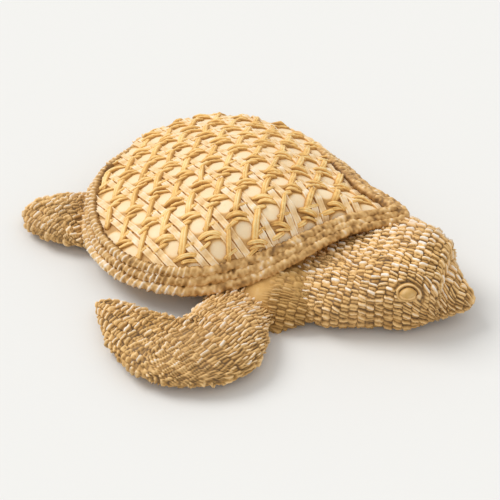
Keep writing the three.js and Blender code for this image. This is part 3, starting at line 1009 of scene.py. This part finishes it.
def neck_and_head():
    """The broad neck and the beaked head, plaited, with smooth eye sockets and a smooth tip."""
    x = np.linspace(NECK_FROM_X, HEAD_STATIONS[-1][0], HEAD_ROWS)
    bottom_first = np.linspace(0, FULL_TURN, ROUGH_SIDES, endpoint=False) - math.pi / 2
    rings = head_ring(x, bottom_first)
    rings[..., 0] += BEAK_POINT * smooth_step(BEAK_POINT_FROM_X, x[-1], x)[:, None]
    bottom = head_rows(x)[2]
    rings = even_rings(rings, HEAD_SIDES, bottom + BOTTOM_BAND)
    normals = ring_normals(rings)
    round_run = ring_distance(rings)
    crown = np.argmax(rings[:, :, 2], axis=1)
    round_run = round_run - round_run[np.arange(len(x)), crown][:, None]
    steps = np.linalg.norm(np.diff(rings, axis=0), axis=2).mean(axis=1)
    run = np.concatenate([[0], np.cumsum(steps)])[:, None]
    wobble = 1.3 * soft_noise(rings, 12)
    rise, streak = plait(run + wobble, np.abs(round_run) + 1.4 * soft_noise(rings + 90, 11), SKIN_PADS)
    # Painted highlight: the lines along the bars are painted pale only on faces that turn upwards.
    painted_highlight = smooth_step(0.35, 0.85, normals[..., 2])
    tone = plait_tone(rise, streak, painted_highlight)
    calm = np.ones(rings.shape[:2])
    lids = np.zeros(rings.shape[:2])
    lines = np.zeros(rings.shape[:2])
    for eye_side in (-1, 1):
        lid, line, quiet = eye_folds(rings, eye_side)
        lids += lid
        lines = np.maximum(lines, line)
        calm *= quiet
    lines = np.maximum(lines, mouth_line(rings))
    calm *= smooth_step(BEAK_SMOOTH_FULL_X, BEAK_SMOOTH_FROM_X, x)[:, None]
    ground = 0.55 + 0.1 * soft_noise(rings, 6)
    height = PLAIT_RISE * rise * calm + SOCKET_RISE * (1 - calm) + lids - CREASE_DEPTH * lines
    # Painted shade in the eye and mouth creases, and painted light on the raised lids.
    tone = (tone * calm + (ground + 0.2 * lids) * (1 - calm)) * (1 - 0.95 * lines)
    height = height + 0.4 * soft_noise(rings, 8) + PLAIT_GRAIN * calm * soft_noise(rings, PLAIT_GRAIN_SIZE)
    brow = bell(rings[..., 0], BROW_X, BROW_WIDTH) * smooth_step(0.2, 0.6, normals[..., 2])
    height = height - BROW_DEPTH * brow
    # Painted shade: the head and neck are painted darker towards the floor.
    tone = tone * (0.7 + 0.45 * smooth_step(0, 26, rings[..., 2]))
    return tube(rings + (height[..., None] - PLAIT_SINK) * normals, tone)


def eye_axes(side):
    """Forward, up and outward directions at an eye."""
    x, _, z = eye_centre(side)
    ahead = head_skin(x + EYE_HALF_LENGTH, z, side)
    behind = head_skin(x - EYE_HALF_LENGTH, z, side)
    turn_in = math.atan2(ahead - behind, 2 * EYE_HALF_LENGTH)
    forward = np.array([math.cos(turn_in), math.sin(turn_in), 0])
    outward = np.array([-side * math.sin(turn_in), side * math.cos(turn_in), 0])
    return forward, np.array([0.0, 0.0, 1.0]), outward


def eye_folds(points, side):
    """Raised lids, creases that are painted dark as painted shade, and the smooth skin round one eye."""
    forward, up, outward = eye_axes(side)
    away = points - eye_centre(side)
    along = away @ forward
    high = away @ up + 0.02 * along**2
    near = smooth_step(9, 6, np.abs(away @ outward))
    reach = np.hypot(along / (EYE_HALF_LENGTH + EYE_MARGIN), high / (EYE_HALF_HEIGHT + EYE_MARGIN))
    above = smooth_step(-1, 1, high + 0.3 * along)
    lid = above * bell(reach, 1.33, 0.14) + 0.3 * (1 - above) * bell(reach, 1.5, 0.25)
    crease = above * np.maximum(bell(reach, 1.06, 0.16), bell(reach, 1.68, 0.2))
    crease = crease + 0.5 * bell(reach, 1.04, 0.1)
    front = bell(along, EYE_HALF_LENGTH + 4.4 - 0.07 * high**2, 0.6) * smooth_step(6, 4, np.abs(high))
    quiet = 1 - near * smooth_step(1.3 + 0.45 * above, 1.2 + 0.35 * above, reach)
    lines = near * np.clip(np.maximum(crease, 0.8 * front), 0, 1)
    return LID_RISE * near * lid, lines, quiet


def mouth_line(points):
    """A dark line that runs back from the beak on each side, sunk as a groove and painted dark as painted
    shade.
    """
    back = MOUTH_FRONT_X - points[..., 0]
    level = MOUTH_Z + MOUTH_SLOPE * back + MOUTH_WAVE * np.sin(back / 3.5)
    return bell(points[..., 2], level, MOUTH_WIDTH) * smooth_step(MOUTH_LENGTH, MOUTH_LENGTH - 5, back)


def ellipsoid(centre, axes, tone, rows=26, sides=36, pinch=0):
    """A closed ball with its three half axes given as directions, drawn in towards its corners."""
    polar = np.linspace(0.04, math.pi - 0.04, rows)[:, None]
    turn = np.linspace(0, FULL_TURN, sides, endpoint=False)
    forward, up, out = (np.asarray(axis, float) for axis in axes)
    ahead = np.sin(polar) * np.cos(turn)
    high = np.sin(polar) * np.sin(turn) * (1 - pinch * ahead**2)
    aside = np.cos(polar) * np.ones_like(turn)
    points = centre + ahead[..., None] * forward + high[..., None] * up + aside[..., None] * out
    return tube(points, np.full(points.shape[:2], tone))


def eyes():
    """Smooth almond balls, each with a small bead in its front corner."""
    parts = []
    for side in (-1, 1):
        centre = eye_centre(side)
        forward, up, outward = eye_axes(side)
        axes = (EYE_HALF_LENGTH * forward, EYE_HALF_HEIGHT * up, EYE_BULGE * outward)
        parts.append(ellipsoid(centre - EYE_SINK * outward, axes, EYE_TONE, pinch=EYE_PINCH))
        corner = centre + (EYE_HALF_LENGTH + 0.9) * forward - 1.6 * up - 0.2 * outward
        parts.append(ellipsoid(corner, (1.3 * forward, 1.1 * up, 1.2 * outward), TEAR_TONE, 14, 20))
    return joined(parts)


# Flippers

def flipper(stations, root, side, rows, sides, bar_turn, swing=0, reach=1, scaled_until=0):
    """One flipper: scales near the root where asked, and plait on the blade."""
    table = spline_rows(stations, np.linspace(0, 1, rows))
    spot = table[:, :2] * reach
    cos, sin = math.cos(swing), math.sin(swing)
    spot = np.stack([spot[:, 0] * cos - spot[:, 1] * sin, spot[:, 0] * sin + spot[:, 1] * cos], axis=1)
    centre = np.asarray(root) + spot
    along = np.gradient(centre, axis=0)
    along /= np.linalg.norm(along, axis=1, keepdims=True)
    chord = table[:, 3] * math.sqrt(reach)
    turn = np.linspace(0, FULL_TURN, ROUGH_FLIPPER_SIDES, endpoint=False) - math.pi / 2
    across = chord[:, None] * np.cos(turn)
    x = centre[:, :1] + along[:, 1:] * across
    y = side * (centre[:, 1:] - along[:, :1] * across)
    z = np.maximum(0, table[:, 2:3] + table[:, 4:5] * np.sin(turn))
    rings = even_rings(np.stack([x, y, z], axis=2), sides, np.full(rows, BOTTOM_BAND))
    normals = ring_normals(rings)
    below = 0.9 * (rings[..., 2].max(axis=1, keepdims=True) - rings[..., 2])
    laid_x = rings[..., 0] + below * normals[..., 0] + 1.3 * soft_noise(rings, 13)
    laid_y = rings[..., 1] + below * normals[..., 1] + 1.3 * soft_noise(rings + 70, 13)
    over = laid_x * math.cos(bar_turn) + laid_y * math.sin(bar_turn)
    beside = laid_y * math.cos(bar_turn) - laid_x * math.sin(bar_turn)
    run = np.concatenate([[0], np.cumsum(np.linalg.norm(np.diff(centre, axis=0), axis=1))])
    scaled = smooth_step(scaled_until + SCALES_FADE, scaled_until - SCALES_FADE, run)[:, None]
    rise, streak = plait(over, -beside, SKIN_PADS + (SCALE_PADS - SKIN_PADS) * scaled)
    # Painted highlight: the lines along the bars are painted pale only on faces that turn upwards.
    painted_highlight = smooth_step(0.3, 0.8, normals[..., 2])
    grain = PLAIT_GRAIN * soft_noise(rings, PLAIT_GRAIN_SIZE)
    height = PLAIT_RISE * rise + 0.3 * soft_noise(rings, 7) + grain
    lit = (0.6 + 0.34 * smooth_step(0, 9, rings[..., 2])) * (1 + 0.14 * scaled)
    tone = lit * plait_tone(rise, streak, painted_highlight)
    return tube(rings + (height[..., None] - PLAIT_SINK) * normals, tone)


# Belly and chest

def belly():
    """The sole's wall under the shell."""
    loop, _, _ = even_loop(EDGE_LOOP, BELLY_SIDES)
    into = inward(loop)
    rings = []
    for inset, share, extra in BELLY_RINGS:
        plan = loop + inset * into
        z = share * shell_heights(plan[:, 0], plan[:, 1])[0] + extra
        rings.append(np.column_stack([plan, z]))
    rings = np.array(rings)
    # Painted shade: the wall is painted darker towards the floor, under the shell's edge.
    tone = np.broadcast_to(np.linspace(0.3, 0.5, len(rings))[:, None], rings.shape[:2])
    return tube(rings, tone + 0.1 * soft_noise(rings, 9))


def chest():
    """The breast between the front flippers, plaited like the neck but smooth in the armpit."""
    rows = spline_rows(CHEST_STATIONS, np.linspace(0, 1, CHEST_ROWS))
    turn = np.linspace(0, FULL_TURN, CHEST_SIDES, endpoint=False)
    x = rows[:, 1:2] + rows[:, 2:3] * np.cos(turn)
    y = np.broadcast_to(rows[:, :1], x.shape)
    z = np.maximum(0, rows[:, 3:4] * (CHEST_RISE + np.sin(turn)))
    rings = np.stack([x, y, z], axis=2)
    lumps = soft_noise(rings, 8)
    wobble = 1.2 * soft_noise(rings, 12)
    rise, streak = plait(x + wobble, 1.2 * soft_noise(rings + 40, 12) - y - z, SKIN_PADS)
    plaited = smooth_step(ARMPIT_TO_X, ARMPIT_TO_X + ARMPIT_FADE, x + 3 * lumps)
    height = 0.6 * lumps + PLAIT_RISE * rise * plaited
    # The smooth armpit is painted lighter on its lumps as painted light; the plaited part takes the plait's
    # painted shade and painted highlight lines.
    tone = (0.5 + 0.15 * lumps) * (1 - plaited) + plait_tone(rise, streak, CHEST_PAINTED_HIGHLIGHT) * plaited
    return tube(rings + (height[..., None] - CHEST_SINK) * ring_normals(rings), tone)


# Pieces

make_piece("shell_floor", shell_floor(), FLOOR_LOOK)
make_piece("cane_ribbons", ribbons(), RIBBON_LOOK)
make_piece("cane_bars", bars(STEEP_BARS + CROSS_BARS, BAR_SEED), BAR_LOOK)
make_piece("cane_arches", bars(ARCH_BARS, ARCH_SEED), BAR_LOOK)
make_piece("bound_rim", rim(), RIM_LOOK)
make_piece("neck_and_head", neck_and_head(), SKIN_LOOK)
make_piece("eyes", eyes(), PLAIN_LOOK)
make_piece(
    "right_flipper",
    flipper(RIGHT_FLIPPER, SHOULDER, -1, 300, 220, RIGHT_PLAIT_TURN, scaled_until=SCALES_UNTIL),
    SKIN_LOOK,
)
make_piece("left_flipper", flipper(LEFT_FLIPPER, SHOULDER, 1, 210, 150, LEFT_PLAIT_TURN), SKIN_LOOK)
make_piece("right_rear_flipper", flipper(REAR_FLIPPER, HIP, -1, 150, 150, RIGHT_PLAIT_TURN), SKIN_LOOK)
make_piece(
    "left_rear_flipper",
    flipper(REAR_FLIPPER, HIP, 1, 120, 140, LEFT_PLAIT_TURN, LEFT_REAR_SWING, LEFT_REAR_REACH),
    SKIN_LOOK,
)
make_piece("belly", belly(), PLAIN_LOOK)
make_piece("chest", chest(), PLAIN_LOOK)


# Stage, light and camera

def studio_floor():
    """A wide sheet of pale paper under the turtle."""
    half = PAPER_HALF
    mesh = bpy.data.meshes.new("floor")
    corners = [(-half, -half, 0), (half, -half, 0), (half, half, 0), (-half, half, 0)]
    mesh.from_pydata(corners, [], [(0, 1, 2, 3)])
    floor = bpy.data.objects.new("floor", mesh)
    bpy.context.scene.collection.objects.link(floor)
    material = bpy.data.materials.new("floor_paper")
    material.use_nodes = True
    shader = material.node_tree.nodes["Principled BSDF"]
    shader.inputs["Base Color"].default_value = linear(PAPER_COLOUR)
    shader.inputs["Roughness"].default_value = 0.9
    shader.inputs["Specular IOR Level"].default_value = 0.1
    mesh.materials.append(material)


def view_directions():
    """Right, forward on the floor, and back towards the camera."""
    a, e = CAMERA_AZIMUTH, CAMERA_ELEVATION
    right = Vector((math.cos(a), math.sin(a), 0))
    ahead = Vector((-math.sin(a), math.cos(a), 0))
    back = Vector((math.sin(a) * math.cos(e), -math.cos(a) * math.cos(e), math.sin(e)))
    return right, ahead, back


def studio_light():
    """One soft key from the upper left and behind, and an even pale sky."""
    right, ahead, _ = view_directions()
    light = bpy.data.lights.new("key", "SUN")
    light.angle = KEY_SOFTNESS
    light.energy = KEY_STRENGTH
    light.color = KEY_COLOUR
    lamp = bpy.data.objects.new("key", light)
    bpy.context.scene.collection.objects.link(lamp)
    to_key = KEY_FROM_RIGHT * right + KEY_FROM_AHEAD * ahead + Vector((0, 0, KEY_FROM_ABOVE))
    lamp.rotation_euler = to_key.to_track_quat("Z", "Y").to_euler()
    world = bpy.data.worlds.new("studio")
    world.use_nodes = True
    sky = world.node_tree.nodes["Background"]
    sky.inputs["Color"].default_value = SKY_COLOUR
    sky.inputs["Strength"].default_value = SKY_STRENGTH
    bpy.context.scene.world = world


def photo_camera():
    """The camera at the photo's angle."""
    right, _, back = view_directions()
    up = back.cross(right)
    camera = bpy.data.cameras.new("photo_camera")
    camera.lens = CAMERA_LENS
    camera.sensor_width = CAMERA_SENSOR
    camera.clip_start = 0.01
    holder = bpy.data.objects.new("photo_camera", camera)
    bpy.context.scene.collection.objects.link(holder)
    turn = Matrix((right, up, back)).transposed()
    holder.matrix_world = Matrix.Translation(CAMERA_TARGET + CAMERA_DISTANCE * back) @ turn.to_4x4()
    bpy.context.scene.camera = holder


studio_floor()
studio_light()
photo_camera()
bpy.context.scene.view_settings.view_transform = "Standard"
